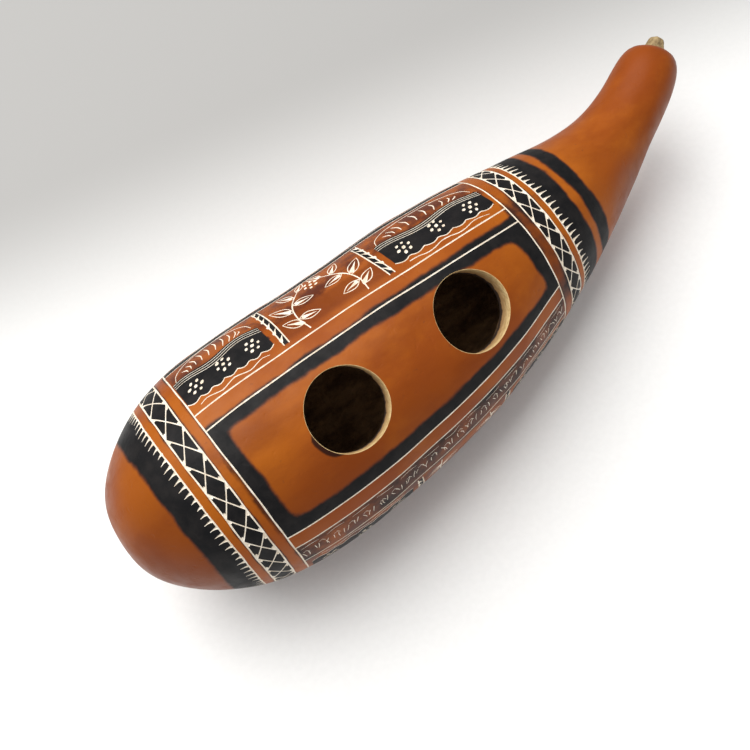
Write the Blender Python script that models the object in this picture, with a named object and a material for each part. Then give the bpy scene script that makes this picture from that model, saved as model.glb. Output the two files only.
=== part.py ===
"""A gourd guiro: a dried bottle gourd with a bent neck, played by scraping its row of notches.

The gourd lies on a small flattened ground spot, with its fat end towards -X and its neck
towards +X. Its wall is one hollow shell with two finger holes on top and the rasp on the
opposite side. The dried pulp lines the cavity, and the stalk sits in the tip of the neck.

Stations are distances along the gourd's spine, measured from the pole of the fat end.
Angles go round the spine from the top of the gourd towards -Y.
"""
import math

import bmesh
import bpy
import numpy as np
from mathutils import Matrix, Vector

MM = 0.001

# Outer skin: stations and radii that the profile's B-spline follows, pole to pole.
SPINE_LENGTH = 300 * MM
PROFILE = (
    (0, 0), (0, 19.5), (32, 45.0), (72, 47.3), (114, 45.5), (156, 43.0),
    (192, 34.5), (225, 25.2), (258, 14.7), (285, 14.2), (300, 11.5), (300, 0),
)

# Spine: it starts slightly nose-down, bows gently along the body and hooks round in the neck.
START_CLIMB = math.radians(-7)
BOW_START = 30 * MM
BOW_END = 165 * MM
BOW_HEADING = math.radians(9.5)
BOW_CLIMB = math.radians(4)
HOOK_START = 183 * MM
HOOK_HEADING = math.radians(26)
HOOK_CLIMB = math.radians(20)

# Wall, cavity and the dried pulp that lines it.
WALL = 8 * MM
CAVITY_END = 255 * MM
FAT_ROUNDING = 22 * MM
NECK_ROUNDING = 12 * MM
GAP = 0.3 * MM
LINING_THICKNESS = 0.7 * MM

# Finger holes, square to the skin: station and angle of each.
FINGER_HOLES = ((90 * MM, math.radians(26.5)), (147.5 * MM, math.radians(29.7)))
FINGER_HOLE_RADIUS = 15.1 * MM
LINING_HOLE_RADIUS = 16.1 * MM

# Rasp: straight filed notches opposite the finger holes.
RASP_ANGLE = math.radians(222)
RASP_START = 58 * MM
RASP_PITCH = 4 * MM
RASP_COUNT = 30
NOTCH_DEPTH = 2 * MM
NOTCH_HALF_WIDTH = 1.3 * MM
NOTCH_HALF_LENGTH = 22 * MM
NOTCH_CLEARANCE = 0.8 * MM

# Ground spot, where the gourd lay as it grew.
GROUND_DEPTH = 1.6 * MM

# Stalk: a spigot in the neck, a collar on a flat seat and a tapered stub with five ridges.
SEAT_DEPTH = 1.2 * MM
SEAT_RADIUS = 5.7 * MM
SPIGOT_RADIUS = 2.8 * MM
SPIGOT_LENGTH = 5.5 * MM
STUB_PROFILE = ((5.0, 0), (5.0, 0.9), (4.4, 1.6), (3.8, 2.8), (3.4, 4.2), (3.1, 5.4), (2.6, 6.1), (1.6, 6.6))
STUB_RIDGES = 5
RIDGE_HEIGHT = 0.06

# Fineness of the faceted surfaces.
SKIN_SIDES = 48
SKIN_RINGS = 40
CAVITY_SIDES = 28
CAVITY_RINGS = 24
HOLE_SIDES = 40
STUB_SIDES = 20
SPINE_SAMPLES = 601


def smooth_step(value):
    """Ease from 0 to 1, with level ends."""
    t = np.clip(value, 0.0, 1.0)
    return t * t * (3 - 2 * t)


def profile_curve(count):
    """Points (station, radius) along the skin's profile, from pole to pole.

    The control polygon is mirrored in the spine at both poles, so the skin is round there.
    """
    control = np.array(PROFILE, dtype=float) * MM
    flip = np.array((1.0, -1.0))
    padded = np.vstack((control[1] * flip, control, control[-2] * flip))
    spans = len(control) - 1
    place = np.linspace(0, spans, count)
    first = np.minimum(place.astype(int), spans - 1)
    t = (place - first)[:, None]
    return (
        (1 - t) ** 3 * padded[first]
        + (3 * t ** 3 - 6 * t ** 2 + 4) * padded[first + 1]
        + (-3 * t ** 3 + 3 * t ** 2 + 3 * t + 1) * padded[first + 2]
        + t ** 3 * padded[first + 3]
    ) / 6


def build_spine():
    """Sample the spine: stations, points and unit tangents."""
    stations = np.linspace(0, SPINE_LENGTH, SPINE_SAMPLES)
    bow = smooth_step((stations - BOW_START) / (BOW_END - BOW_START))
    hook = np.clip((stations - HOOK_START) / (SPINE_LENGTH - HOOK_START), 0, None) ** 2
    heading = BOW_HEADING * bow + HOOK_HEADING * hook
    climb = START_CLIMB + BOW_CLIMB * bow + HOOK_CLIMB * hook
    tangents = np.column_stack((
        np.cos(climb) * np.cos(heading),
        np.cos(climb) * np.sin(heading),
        np.sin(climb),
    ))
    step = SPINE_LENGTH / (SPINE_SAMPLES - 1)
    points = np.zeros((SPINE_SAMPLES, 3))
    points[1:] = np.cumsum((tangents[1:] + tangents[:-1]) / 2 * step, axis=0)
    return stations, points, tangents


SPINE = build_spine()
FINE_PROFILE = profile_curve(2000)


def skin_radius(station):
    """Radius of the outer skin at a station."""
    return float(np.interp(station, FINE_PROFILE[:, 0], FINE_PROFILE[:, 1]))


def cavity_radius(station):
    """Radius of the cavity at a station, closing in a round end at each end."""
    fat = min((station - WALL) / FAT_ROUNDING, 1)
    neck = min((CAVITY_END - station) / NECK_ROUNDING, 1)
    closing = math.sqrt(max(1 - (1 - fat) ** 2, 0)) * math.sqrt(max(1 - (1 - neck) ** 2, 0))
    return max(skin_radius(station) - WALL, 0) * closing


def spine_frame(station):
    """Centre, tangent, up and side directions at a station."""
    stations, points, tangents = SPINE
    centre = Vector([np.interp(station, stations, points[:, axis]) for axis in range(3)])
    tangent = Vector([np.interp(station, stations, tangents[:, axis]) for axis in range(3)])
    tangent.normalize()
    up = Vector((0, 0, 1)) - tangent * tangent.z
    up.normalize()
    return centre, tangent, up, tangent.cross(up)


def outward(station, angle):
    """Unit direction from the spine towards an angle."""
    _, _, up, side = spine_frame(station)
    return up * math.cos(angle) + side * math.sin(angle)


def skin_point(station, angle):
    """Point on the outer skin."""
    centre = spine_frame(station)[0]
    return centre + outward(station, angle) * skin_radius(station)


def skin_axes(station, angle):
    """Directions along the skin, across it and out of it at a point."""
    step = 0.5 * MM
    along = skin_point(station + step, angle) - skin_point(station - step, angle)
    along.normalize()
    across = skin_point(station, angle + 0.01) - skin_point(station, angle - 0.01)
    across = (across - along * across.dot(along)).normalized()
    out = along.cross(across)
    if out.dot(outward(station, angle)) < 0:
        out.negate()
    return along, across, out


def make_material(name, color, roughness):
    """Plain Principled material."""
    material = bpy.data.materials.new(name)
    material.use_nodes = True
    shader = material.node_tree.nodes["Principled BSDF"]
    shader.inputs["Base Color"].default_value = (*color, 1)
    shader.inputs["Roughness"].default_value = roughness
    shader.inputs["Metallic"].default_value = 0
    material.diffuse_color = (*color, 1)
    return material


def finish_object(name, bm, material=None, sharp_angle=math.radians(35)):
    """Turn a bmesh into a named object; one with no material is a cutter."""
    bmesh.ops.recalc_face_normals(bm, faces=bm.faces)
    mesh = bpy.data.meshes.new(name)
    bm.to_mesh(mesh)
    bm.free()
    item = bpy.data.objects.new(name, mesh)
    bpy.context.scene.collection.objects.link(item)
    if material is None:
        item.hide_render = True
        item.display_type = "WIRE"
    else:
        mesh.materials.append(material)
        mesh.shade_smooth()
        mesh.set_sharp_from_angle(angle=sharp_angle)
    return item


def bridge(bm, loops):
    """Join neighbouring loops of vertices with faces; a loop of one vertex is a pole."""
    for lower, upper in zip(loops, loops[1:]):
        sides = max(len(lower), len(upper))
        for k in range(sides):
            following = (k + 1) % sides
            if len(lower) == 1:
                bm.faces.new((lower[0], upper[k], upper[following]))
            elif len(upper) == 1:
                bm.faces.new((lower[k], upper[0], lower[following]))
            else:
                bm.faces.new((lower[k], upper[k], upper[following], lower[following]))


def loft_round_spine(name, sections, sides, material=None):
    """Closed body of rings square to the spine, one for each (station, radius)."""
    bm = bmesh.new()
    loops = []
    for station, radius in sections:
        centre, _, up, side = spine_frame(station)
        if radius <= 0:
            loops.append([bm.verts.new(centre)])
            continue
        ring = []
        for k in range(sides):
            angle = 2 * math.pi * k / sides
            ring.append(bm.verts.new(centre + (up * math.cos(angle) + side * math.sin(angle)) * radius))
        loops.append(ring)
    bridge(bm, loops)
    return finish_object(name, bm, material)


def skin_sections():
    """Rings of the outer skin."""
    sections = [list(point) for point in profile_curve(SKIN_RINGS)]
    sections[0][1] = 0
    sections[-1][1] = 0
    return sections


def cavity_sections(inset):
    """Rings of the cavity, or of a surface a constant inset inside it."""
    start = WALL + inset
    end = CAVITY_END - inset
    sections = []
    for k in range(CAVITY_RINGS + 1):
        share = (1 - math.cos(math.pi * k / CAVITY_RINGS)) / 2
        station = start + (end - start) * share
        pole = k in (0, CAVITY_RINGS)
        sections.append((station, 0 if pole else max(cavity_radius(station) - inset, 1 * MM)))
    return sections


def axis_matrix(origin, axis):
    """Placement with local Z along an axis."""
    return Matrix.Translation(origin) @ axis.to_track_quat("Z", "Y").to_matrix().to_4x4()


def drill(name, origin, axis, radius, depth_in, height_out, sides=HOLE_SIDES):
    """Round cutter from inside the wall to outside it."""
    bm = bmesh.new()
    bmesh.ops.create_cone(
        bm, cap_ends=True, segments=sides, radius1=radius, radius2=radius,
        depth=depth_in + height_out,
        matrix=axis_matrix(origin + axis * (height_out - depth_in) / 2, axis),
    )
    return finish_object(name, bm)


def finger_drills(name, radius):
    """Cutters of the finger holes."""
    drills = []
    for k, (station, angle) in enumerate(FINGER_HOLES):
        _, _, out = skin_axes(station, angle)
        centre = skin_point(station, angle)
        drills.append(drill(f"{name}_{k + 1}", centre, out, radius, 2.2 * WALL, 2 * WALL))
    return drills


def rasp_cutter():
    """All the filed notches, each a straight V-shaped prism across the skin."""
    bm = bmesh.new()
    slope = NOTCH_HALF_WIDTH / NOTCH_DEPTH
    top_half = (NOTCH_DEPTH + NOTCH_CLEARANCE) * slope
    for k in range(RASP_COUNT):
        station = RASP_START + k * RASP_PITCH
        along, across, out = skin_axes(station, RASP_ANGLE)
        centre = skin_point(station, RASP_ANGLE)
        bottom = centre - out * NOTCH_DEPTH
        top = centre + out * NOTCH_CLEARANCE
        ends = []
        for reach in (-NOTCH_HALF_LENGTH, NOTCH_HALF_LENGTH):
            corners = (bottom, top + along * top_half, top - along * top_half)
            ends.append([bm.verts.new(corner + across * reach) for corner in corners])
        bm.faces.new(ends[0])
        bm.faces.new(ends[1])
        bridge(bm, ends)
    return finish_object("rasp_cutter", bm)


def ground_cutter(skin):
    """Slab whose top shaves the skin's lowest point to the flat ground spot."""
    lowest = min(vertex.co.z for vertex in skin.data.vertices)
    size = 2 * SPINE_LENGTH
    top = lowest + GROUND_DEPTH
    bm = bmesh.new()
    placement = Matrix.Translation((0, 0, top - size / 2)) @ Matrix.Scale(size, 4)
    bmesh.ops.create_cube(bm, size=1, matrix=placement)
    return finish_object("ground_cutter", bm), top


def stem_stub(material):
    """Stalk: spigot, collar and ridged stub, turned about the neck's end direction."""
    centre, tangent, up, side = spine_frame(SPINE_LENGTH)
    seat = centre - tangent * (SEAT_DEPTH - GAP)
    spigot = ((SPIGOT_RADIUS, -SPIGOT_LENGTH), (SPIGOT_RADIUS, 0))
    stub = [(radius * MM, height * MM) for radius, height in STUB_PROFILE]
    bm = bmesh.new()
    loops = [[bm.verts.new(seat + tangent * spigot[0][1])]]
    for radius, height in (*spigot, *stub):
        ridged = RIDGE_HEIGHT if height > 0 else 0
        ring = []
        for k in range(STUB_SIDES):
            angle = 2 * math.pi * k / STUB_SIDES
            reach = radius * (1 + ridged * math.cos(STUB_RIDGES * angle))
            direction = up * math.cos(angle) + side * math.sin(angle)
            ring.append(bm.verts.new(seat + direction * reach + tangent * height))
        loops.append(ring)
    loops.append([bm.verts.new(seat + tangent * stub[-1][1])])
    bridge(bm, loops)
    return finish_object("stem_stub", bm, material)


def cut(item, *cutters):
    """Subtract each cutter from an object."""
    for cutter in cutters:
        modifier = item.modifiers.new("cut_" + cutter.name, "BOOLEAN")
        modifier.operation = "DIFFERENCE"
        modifier.solver = "EXACT"
        modifier.object = cutter


def bounds(items):
    """Lowest and highest corners of the finished objects."""
    depsgraph = bpy.context.evaluated_depsgraph_get()
    corners = []
    for item in items:
        mesh = item.evaluated_get(depsgraph).to_mesh()
        corners.extend(item.matrix_world @ vertex.co for vertex in mesh.vertices)
        item.evaluated_get(depsgraph).to_mesh_clear()
    low = Vector([min(corner[axis] for corner in corners) for axis in range(3)])
    high = Vector([max(corner[axis] for corner in corners) for axis in range(3)])
    return low, high


def clear_scene():
    """Start from an empty scene."""
    for item in list(bpy.data.objects):
        bpy.data.objects.remove(item, do_unlink=True)


def main():
    """Build the gourd, its lining and its stalk, and set them down on the ground spot."""
    clear_scene()
    skin_material = make_material("gourd_skin", (0.42, 0.15, 0.035), 0.42)
    pulp_material = make_material("dried_pulp", (0.045, 0.024, 0.012), 0.9)
    stalk_material = make_material("dry_stalk", (0.42, 0.28, 0.13), 0.8)

    shell = loft_round_spine("gourd_shell", skin_sections(), SKIN_SIDES, skin_material)
    slab, ground = ground_cutter(shell)
    cavity = loft_round_spine("cavity_cutter", cavity_sections(0), CAVITY_SIDES)
    drills = finger_drills("finger_hole_cutter", FINGER_HOLE_RADIUS)
    tip, end_direction, _, _ = spine_frame(SPINE_LENGTH)
    seat = tip - end_direction * SEAT_DEPTH
    seat_cutter = drill("seat_cutter", seat, end_direction, SEAT_RADIUS, 0, WALL)
    socket_cutter = drill(
        "socket_cutter", seat, end_direction, SPIGOT_RADIUS + GAP, SPIGOT_LENGTH, WALL, STUB_SIDES)
    cut(shell, cavity, *drills, rasp_cutter(), slab, seat_cutter, socket_cutter)

    lining = loft_round_spine("pulp_lining", cavity_sections(GAP), CAVITY_SIDES, pulp_material)
    core = loft_round_spine(
        "lining_core_cutter", cavity_sections(GAP + LINING_THICKNESS), CAVITY_SIDES)
    cut(lining, core, *finger_drills("lining_hole_cutter", LINING_HOLE_RADIUS))
    stub = stem_stub(stalk_material)

    low, high = bounds((shell, lining, stub))
    anchor = bpy.data.objects.new("gourd_frame", None)
    bpy.context.scene.collection.objects.link(anchor)
    for item in list(bpy.data.objects):
        if item is not anchor:
            item.parent = anchor
    anchor.location = (-(low.x + high.x) / 2, -(low.y + high.y) / 2, -ground)
    bpy.context.view_layer.update()


main()
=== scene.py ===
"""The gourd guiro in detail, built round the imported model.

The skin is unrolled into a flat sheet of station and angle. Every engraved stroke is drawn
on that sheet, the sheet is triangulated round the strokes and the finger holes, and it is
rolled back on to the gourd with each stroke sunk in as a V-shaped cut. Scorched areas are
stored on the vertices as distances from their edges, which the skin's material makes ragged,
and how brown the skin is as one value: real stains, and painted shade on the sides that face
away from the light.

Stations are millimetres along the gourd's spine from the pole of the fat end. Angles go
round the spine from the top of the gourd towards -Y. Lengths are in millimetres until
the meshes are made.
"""
import math
import random

import bmesh
import bpy
import numpy as np
from mathutils import Matrix, Vector, kdtree, noise
from mathutils.geometry import delaunay_2d_cdt


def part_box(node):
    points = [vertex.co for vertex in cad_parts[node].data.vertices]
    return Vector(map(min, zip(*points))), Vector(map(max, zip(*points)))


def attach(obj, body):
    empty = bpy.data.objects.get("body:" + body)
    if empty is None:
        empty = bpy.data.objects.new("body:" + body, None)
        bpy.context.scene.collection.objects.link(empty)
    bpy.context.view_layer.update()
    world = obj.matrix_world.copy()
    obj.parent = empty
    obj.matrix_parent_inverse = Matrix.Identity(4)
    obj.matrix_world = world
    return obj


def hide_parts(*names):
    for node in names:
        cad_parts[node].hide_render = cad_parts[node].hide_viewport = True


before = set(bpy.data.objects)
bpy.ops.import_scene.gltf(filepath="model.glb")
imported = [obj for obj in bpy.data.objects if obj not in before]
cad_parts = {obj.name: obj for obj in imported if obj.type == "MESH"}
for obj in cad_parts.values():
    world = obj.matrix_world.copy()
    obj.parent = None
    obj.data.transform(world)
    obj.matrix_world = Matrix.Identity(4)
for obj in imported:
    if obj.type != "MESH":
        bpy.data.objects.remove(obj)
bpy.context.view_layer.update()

MM = 0.001

# Outer skin and spine, as in the model.
SPINE_LENGTH = 300.0
PROFILE = (
    (0, 0), (0, 19.5), (32, 45.0), (72, 47.3), (114, 45.5), (156, 43.0),
    (192, 34.5), (225, 25.2), (258, 14.7), (285, 14.2), (300, 11.5), (300, 0),
)
START_CLIMB = math.radians(-7)
BOW_START = 30.0
BOW_END = 165.0
BOW_HEADING = math.radians(9.5)
BOW_CLIMB = math.radians(4)
HOOK_START = 183.0
HOOK_HEADING = math.radians(26)
HOOK_CLIMB = math.radians(20)

# Wall, cavity and lining.
WALL = 8.0
CAVITY_END = 255.0
CAVITY_SHEET = (60.0, 180.0)
FAT_ROUNDING = 22.0
NECK_ROUNDING = 12.0
GAP = 0.3
LINING_THICKNESS = 0.7

# Finger holes, rasp and the stalk's seat.
FINGER_HOLES = ((90.0, math.radians(26.5)), (147.5, math.radians(29.7)))
FINGER_HOLE_RADIUS = 15.1
LINING_HOLE_RADIUS = 16.1
RIM_EASE = 0.2
HOLE_SIDES = 80
RASP_ANGLE = math.radians(222)
RASP_START = 58.0
RASP_PITCH = 4.0
RASP_COUNT = 30
NOTCH_DEPTH = 2.0
NOTCH_HALF_WIDTH = 1.3
SEAT_DEPTH = 1.2
SEAT_RADIUS = 5.7
SPIGOT_RADIUS = 2.8
SPIGOT_LENGTH = 5.5
STUB_PROFILE = ((5.0, 0), (5.0, 0.9), (4.4, 1.6), (3.8, 2.8), (3.4, 4.2), (3.1, 5.4), (2.6, 6.1), (1.6, 6.6))
STUB_RIDGES = 5

# Slow unevenness of the grown skin: height, pitch along it, lobes round it, phase.
LUMPS = ((0.16, 130.0, 2, 0.4), (0.12, 61.0, 3, 2.1), (0.07, 34.0, 5, 4.0), (0.04, 21.0, 8, 1.2))

# The unrolled sheet.
SEAM = math.radians(-172)
TURN = 2 * math.pi
UNROLL_RADIUS = 44.0
ENGRAVED_FROM = 24.0
ENGRAVED_TO = 211.0
AROUND = 172
GRID_STEP = 1.7
CLEARANCE = 0.55
END_STEP = 1.9

# Material slots of the skin piece.
SKIN, CARVED, NOTCH, SAWN, PULP = range(5)

# Engraving: half widths of the cuts, and how steep their sides are.
FINE_CUT = 0.2
LINE_CUT = 0.27
CUT_SLOPE = 0.8
DEEPEST_CUT = 0.55
STROKE_STEP = 1.3
CORNER_REACH = (0.3, 1.3, 2.1)
CORNER_WIDTHS = (0.22, 0.36, 0.48)
TOOTH_SHARES = (0.12, 0.32, 0.6, 1.1)
TOOTH_WIDTHS = (0.72, 0.46, 0.28, 0.08)

# How many times faster a scorched area's value falls off over a crisp edge than over a ragged one.
HARD_EDGE = 5.0

# Bands: the rings lean, by (cosine, sine) amounts of their angle.
FAT_LEAN = (-1.57, 3.38)
NECK_LEAN = (-0.09, -3.0)
FAT_LINE = 47.85
FAT_LATTICE = (43.0, 35.6)
FAT_TEETH = 31.9
FAT_SCORCH = 22.0
FAT_CELLS = 24
FAT_CROSSING = math.radians(30)
FAT_CROWDING = math.radians(13)
FAT_TEETH_COUNT = 88
NECK_LINE = 186.5
NECK_LATTICE = (191.8, 198.5)
NECK_TEETH = 201.8
NECK_SCORCH = 212.0
NECK_RING = (216.5, 222.5)
NECK_CELLS = 21
NECK_CROSSING = math.radians(9)
NECK_TEETH_COUNT = 72

# Painted shade greys the floor paper towards the back, between these distances in metres.
BACKDROP_HEADING = math.radians(77)
BACKDROP_SHADE = (0.035, 0.175)

# Scorching short of black: the hatched row, the smudge on the neck's strip, the singe along the
# fat line and the degrees that those two span, and the singe at the first hole's rim.
HATCH_SCORCH = -0.2
SMUDGE_SCORCH = -0.1
SINGE_TONE = 0.75
SMUDGE_SPAN = (4.0, 72.0)
SLIP_WIDTH = 1.9
SLIP_SPAN = (-6.0, 58.0)

# The camera: place in metres, turn in degrees and lens.
CAMERA_PLACE = (-0.0663, -0.1266, 0.3739)
CAMERA_YAW = 75.68
CAMERA_PITCH = 68.93
CAMERA_ROLL = -21.31
CAMERA_LENS = 43.2

# The light: a square window, with lengths in metres and its power in watts, and the strength of
# the room's light from below and from above.
WINDOW_PLACE = Vector((-0.2, 0.52, 1.28))
WINDOW_TARGET = Vector((0, 0, 0.04))
WINDOW_SIZE = 1.3
WINDOW_POWER = 23.5
WINDOW_COLOUR = (1.0, 0.99, 0.96)
ROOM_STRENGTH = (0.26, 0.60)

# Draws the small differences between strokes.
RNG = random.Random(7)


def smooth_step(value):
    """Ease from 0 to 1, with level ends."""
    t = np.clip(value, 0.0, 1.0)
    return t * t * (3 - 2 * t)


def window(value, low, high, rise, fall):
    """Ease up from 0 at low, and down to 0 at high."""
    return smooth_step((value - low) / rise) * smooth_step((high - value) / fall)


def profile_curve(count):
    """Points (station, radius) along the skin's profile, from pole to pole."""
    control = np.array(PROFILE, dtype=float)
    flip = np.array((1.0, -1.0))
    padded = np.vstack((control[1] * flip, control, control[-2] * flip))
    spans = len(control) - 1
    place = np.linspace(0, spans, count)
    first = np.minimum(place.astype(int), spans - 1)
    t = (place - first)[:, None]
    return (
        (1 - t) ** 3 * padded[first]
        + (3 * t ** 3 - 6 * t ** 2 + 4) * padded[first + 1]
        + (-3 * t ** 3 + 3 * t ** 2 + 3 * t + 1) * padded[first + 2]
        + t ** 3 * padded[first + 3]
    ) / 6


def build_spine():
    """Sample the spine: stations, points and unit tangents."""
    stations = np.linspace(0, SPINE_LENGTH, 601)
    bow = smooth_step((stations - BOW_START) / (BOW_END - BOW_START))
    hook = np.clip((stations - HOOK_START) / (SPINE_LENGTH - HOOK_START), 0, None) ** 2
    heading = BOW_HEADING * bow + HOOK_HEADING * hook
    climb = START_CLIMB + BOW_CLIMB * bow + HOOK_CLIMB * hook
    tangents = np.column_stack((
        np.cos(climb) * np.cos(heading),
        np.cos(climb) * np.sin(heading),
        np.sin(climb),
    ))
    points = np.zeros((len(stations), 3))
    step = stations[1]
    points[1:] = np.cumsum((tangents[1:] + tangents[:-1]) / 2 * step, axis=0)
    return stations, points, tangents


SPINE = build_spine()
FINE_PROFILE = profile_curve(4000)


def skin_radius(station):
    """Radius of the even outer skin."""
    return np.interp(station, FINE_PROFILE[:, 0], FINE_PROFILE[:, 1])


def cavity_radius(station):
    """Radius of the cavity, closing in a round end at each end."""
    fat = np.clip((station - WALL) / FAT_ROUNDING, 0, 1)
    neck = np.clip((CAVITY_END - station) / NECK_ROUNDING, 0, 1)
    closing = np.sqrt(1 - (1 - fat) ** 2) * np.sqrt(1 - (1 - neck) ** 2)
    return np.maximum(skin_radius(station) - WALL, 0) * closing


def spine_frames(station):
    """Centres, tangents, up and side directions at an array of stations."""
    stations, points, tangents = SPINE
    station = np.atleast_1d(np.asarray(station, dtype=float))
    centre = np.column_stack([np.interp(station, stations, points[:, k]) for k in range(3)])
    tangent = np.column_stack([np.interp(station, stations, tangents[:, k]) for k in range(3)])
    tangent /= np.linalg.norm(tangent, axis=1)[:, None]
    up = np.array((0.0, 0.0, 1.0)) - tangent * tangent[:, 2:3]
    up /= np.linalg.norm(up, axis=1)[:, None]
    return centre, tangent, up, np.cross(tangent, up)


def round_spine(station, angle, radius):
    """Points at that radius from the spine."""
    centre, _, up, side = spine_frames(station)
    angle = np.atleast_1d(angle)[:, None]
    radius = np.atleast_1d(radius)[:, None]
    return centre + (up * np.cos(angle) + side * np.sin(angle)) * radius


def lumps(station, angle):
    """Unevenness of the skin, none at the two ends."""
    total = 0
    for height, pitch, lobes, phase in LUMPS:
        total = total + height * np.sin(TURN * station / pitch + lobes * angle + phase)
    return total * window(station, 0, SPINE_LENGTH, 40, 40)


def on_skin(station, angle):
    """Points on the uneven outer skin."""
    return round_spine(station, angle, skin_radius(station) + lumps(station, angle))


def skin_normals(station, angle):
    """Outward unit directions of the uneven skin."""
    along = on_skin(station + 0.4, angle) - on_skin(station - 0.4, angle)
    across = on_skin(station, angle + 0.01) - on_skin(station, angle - 0.01)
    normal = np.cross(across, along)
    return normal / np.maximum(np.linalg.norm(normal, axis=1), 1e-12)[:, None]


def frame_shift():
    """Offset from the spine's own frame to the model's, matched on the shell's CAD box."""
    low, high = (np.array(corner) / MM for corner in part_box("gourd_shell"))
    station = np.repeat(FINE_PROFILE[::8, 0], 180)
    radius = np.repeat(FINE_PROFILE[::8, 1], 180)
    angle = np.tile(np.linspace(0, TURN, 180, endpoint=False), len(FINE_PROFILE[::8]))
    points = round_spine(station, angle, radius)
    own_low = points.min(axis=0)
    own_high = points.max(axis=0)
    return np.array((
        low[0] - own_low[0],
        (low[1] + high[1] - own_low[1] - own_high[1]) / 2,
        high[2] - own_high[2],
    ))


SHIFT = frame_shift()


# ---------------------------------------------------------------- strokes

class Stroke:
    """A V-shaped cut: stations, angles and half widths along its middle."""

    def __init__(self, stations, angles, widths, slope=CUT_SLOPE, deepest=DEEPEST_CUT, notch=False):
        self.stations = np.asarray(stations, dtype=float)
        self.angles = np.asarray(angles, dtype=float)
        self.widths = np.asarray(widths, dtype=float)
        self.slope = slope
        self.deepest = deepest
        self.notch = notch

    def outline(self):
        """Closed loop of (station, angle) round the cut."""
        radius = skin_radius(self.stations)
        ahead = np.gradient(self.stations)
        across = np.gradient(self.angles) * radius
        length = np.hypot(ahead, across)
        normal = np.column_stack((-across / length, ahead / length / radius)) * self.widths[:, None]
        tangent = np.column_stack((ahead / length, across / length / radius)) * self.widths[:, None]
        middle = np.column_stack((self.stations, self.angles))
        left = list(middle + normal)
        right = list(middle - normal)
        loop = left
        if self.widths[-1] > 0.2:
            loop = loop + [middle[-1] + tangent[-1]]
        loop = loop + right[::-1]
        if self.widths[0] > 0.2:
            loop = loop + [middle[0] - tangent[0]]
        return np.array(loop)


STROKES = []


def curve_through(points, step):
    """Smooth curve through (station, degrees, ...) points, sampled every step or so."""
    points = np.array(points, dtype=float)
    padded = np.vstack((2 * points[0] - points[1], points, 2 * points[-1] - points[-2]))
    samples = []
    for k in range(1, len(padded) - 2):
        before, start, end, after = padded[k - 1:k + 3]
        reach = math.hypot(end[0] - start[0], math.radians(end[1] - start[1]) * UNROLL_RADIUS)
        count = max(1, round(reach / step))
        for t in np.arange(count) / count:
            samples.append(0.5 * (
                2 * start + (end - before) * t
                + (2 * before - 5 * start + 4 * end - after) * t ** 2
                + (3 * start - before - 3 * end + after) * t ** 3
            ))
    samples.append(points[-1])
    return np.array(samples)


def cut_line(points, width=LINE_CUT, ends=(1.0, 1.0), straight=False):
    """Cut along a curve through (station, degrees) points; ends are shares of the width."""
    if straight:
        points = np.array(points, dtype=float)
        reach = np.hypot(*(np.diff(points, axis=0) * (1, math.radians(UNROLL_RADIUS))).T)
        place = np.concatenate(((0,), np.cumsum(reach)))
        even = np.linspace(0, place[-1], max(2, round(place[-1] / STROKE_STEP) + 1))
        curve = np.column_stack([np.interp(even, place, points[:, k]) for k in range(2)])
    else:
        curve = curve_through(points, STROKE_STEP)
    share = np.linspace(0, 1, len(curve))
    start = np.interp(share, (0, 0.35), (ends[0], 1))
    end = np.interp(share, (0.65, 1), (1, ends[1]))
    wander = np.array([RNG.uniform(0.88, 1.12) for _ in share])
    STROKES.append(Stroke(curve[:, 0], np.radians(curve[:, 1]), width * start * end * wander))


def cut_dot(station, degrees, radius):
    """Short oval pit, a touch of the gouge."""
    half = 0.35 * RNG.uniform(0.6, 1.3)
    turn = math.radians(RNG.uniform(-60, -20))
    angle = math.radians(degrees)
    around = half * math.sin(turn) / float(skin_radius(station))
    ahead = half * math.cos(turn)
    STROKES.append(Stroke(
        (station - ahead, station + ahead), (angle - around, angle + around), (radius, radius * 0.92)))


def cut_chip(start, end, width):
    """Chip from a broad end to a point, between (station, degrees) places."""
    middle = (start + end) / 2
    curve = np.array((start, (start + middle) / 2, middle, end))
    STROKES.append(Stroke(curve[:, 0], np.radians(curve[:, 1]), (width, width * 0.72, width * 0.42, 0.06)))


def leaned(base, lean, angle):
    """Station of a leaning ring at an angle."""
    return base + lean[0] * np.cos(angle) + lean[1] * np.sin(angle)


def ring_angles(count):
    """Angles of count places round the gourd, with a margin of copies beyond both sides of the seam."""
    margin = max(3, round(count * 0.03))
    return SEAM + TURN * (np.arange(-margin, count + margin) + 0.5) / count


def cut_ring(base, lean, width):
    """Line all round the gourd."""
    angle = ring_angles(180)
    wander = 0.08 * np.sin(7 * angle + base) + 0.05 * np.sin(19 * angle + 2 * base)
    widths = width * (1 + 0.12 * np.sin(31 * angle + base))
    STROKES.append(Stroke(leaned(base, lean, angle) + wander, angle, widths))


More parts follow.
